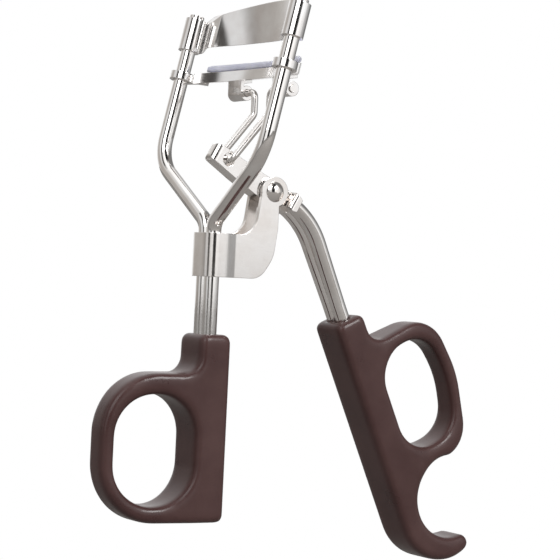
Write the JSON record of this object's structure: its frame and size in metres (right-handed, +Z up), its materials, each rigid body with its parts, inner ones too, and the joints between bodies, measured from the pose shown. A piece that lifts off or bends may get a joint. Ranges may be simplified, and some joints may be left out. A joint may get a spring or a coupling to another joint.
{
  "type": "eyelash curler",
  "caption": "Hand eyelash curler: a curved jaw with a soft pad slides up two splayed rods to a curved plate as the ringed handles close.",
  "frame": {"origin": "middle of the bottom of the tool's bounding box, in the middle plane between the two rods", "axes": "+Z up along the straight frame rods toward the plate, +X from the fixed handle to the moving handle, +Y along the pivot"},
  "size_m": [0.081, 0.0418, 0.1051],
  "materials": {
    "nickel_plate": "bright nickel plate on steel, warm tint",
    "handle_plastic": "dark brown moulded plastic, satin gloss",
    "silicone": "translucent pale lilac silicone"
  },
  "bodies": {
    "frame": {"left_frame_rod": "nickel_plate", "right_frame_rod": "nickel_plate", "bracket": "nickel_plate", "rivet": "nickel_plate", "upper_plate": "nickel_plate", "fixed_handle": "handle_plastic"},
    "lever_arm": {"lever": "nickel_plate", "left_lever_rod": "nickel_plate", "right_lever_rod": "nickel_plate", "moving_handle": "handle_plastic"},
    "jaw": {"lower_jaw": "nickel_plate", "silicone_pad": "silicone"},
    "link_wire": {"link": "nickel_plate"}
  },
  "joints": [
    {"name": "handle_hinge", "type": "hinge", "parent": "frame", "child": "lever_arm", "pos_m": [-0.00725, 0, 0.06927], "axis": [0, 1, 0], "range_deg": [0, 19]},
    {"name": "jaw_slide", "type": "slide", "parent": "frame", "child": "jaw", "axis": [0.225, 0, 0.9744], "range_m": [0, 0.00366]},
    {"name": "link_swing", "type": "hinge", "parent": "jaw", "child": "link_wire", "pos_m": [-0.00945, 0, 0.08777], "axis": [0, -1, 0], "range_deg": [0, 6.1]}
  ],
  "couplings": [
    {"joint": "jaw_slide", "follows": "handle_hinge", "m_per_rad": 0.011},
    {"joint": "link_swing", "follows": "handle_hinge", "ratio": 0.317}
  ]
}
